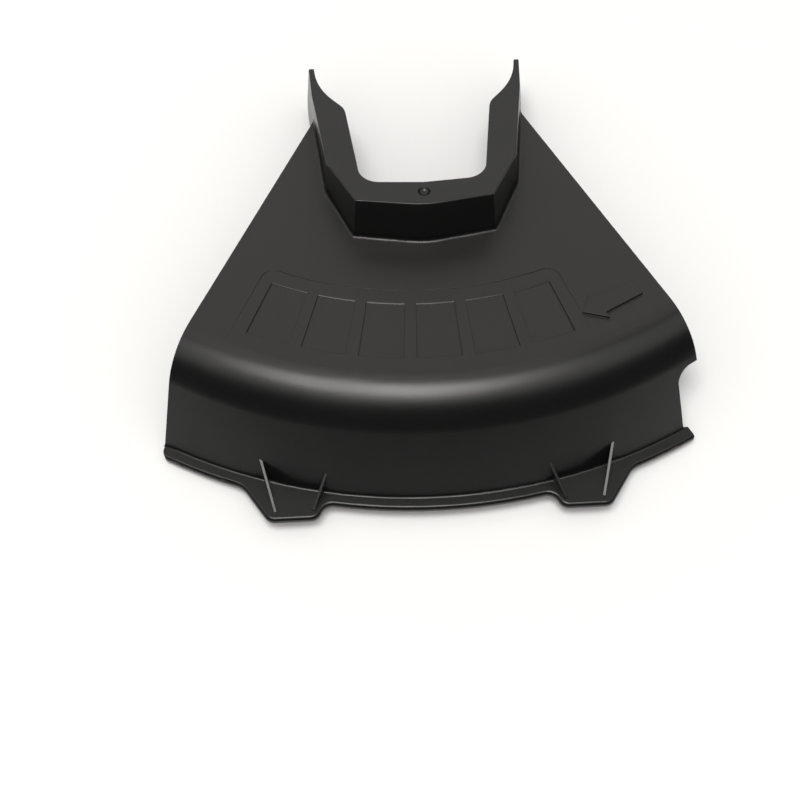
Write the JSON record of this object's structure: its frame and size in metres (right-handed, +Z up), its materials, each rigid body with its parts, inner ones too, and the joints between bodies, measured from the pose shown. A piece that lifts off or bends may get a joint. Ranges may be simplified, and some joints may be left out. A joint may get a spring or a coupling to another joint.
{
  "type": "trimmer blade guard",
  "caption": "Black moulded fan-shaped guard for a string trimmer: level plate, leaning skirt with a rim, and a sloping hooded collar with a slot that is open at the back.",
  "frame": {"origin": "on the collar's top, in the middle of the slot's closed front end, where the neck of the machine seats", "axes": "+Z up, along the axis of the cutting head, which stands 103.5 mm behind the origin along +Y; +Y out of the slot's open back; the skirt lies along -Y; +X to the notched end of the skirt"},
  "size_m": [0.2068, 0.1848, 0.0624],
  "materials": {
    "moulding": "satin black with a fine moulded grain"
  },
  "bodies": {
    "root": {"blade_guard": "moulding"}
  },
  "joints": []
}
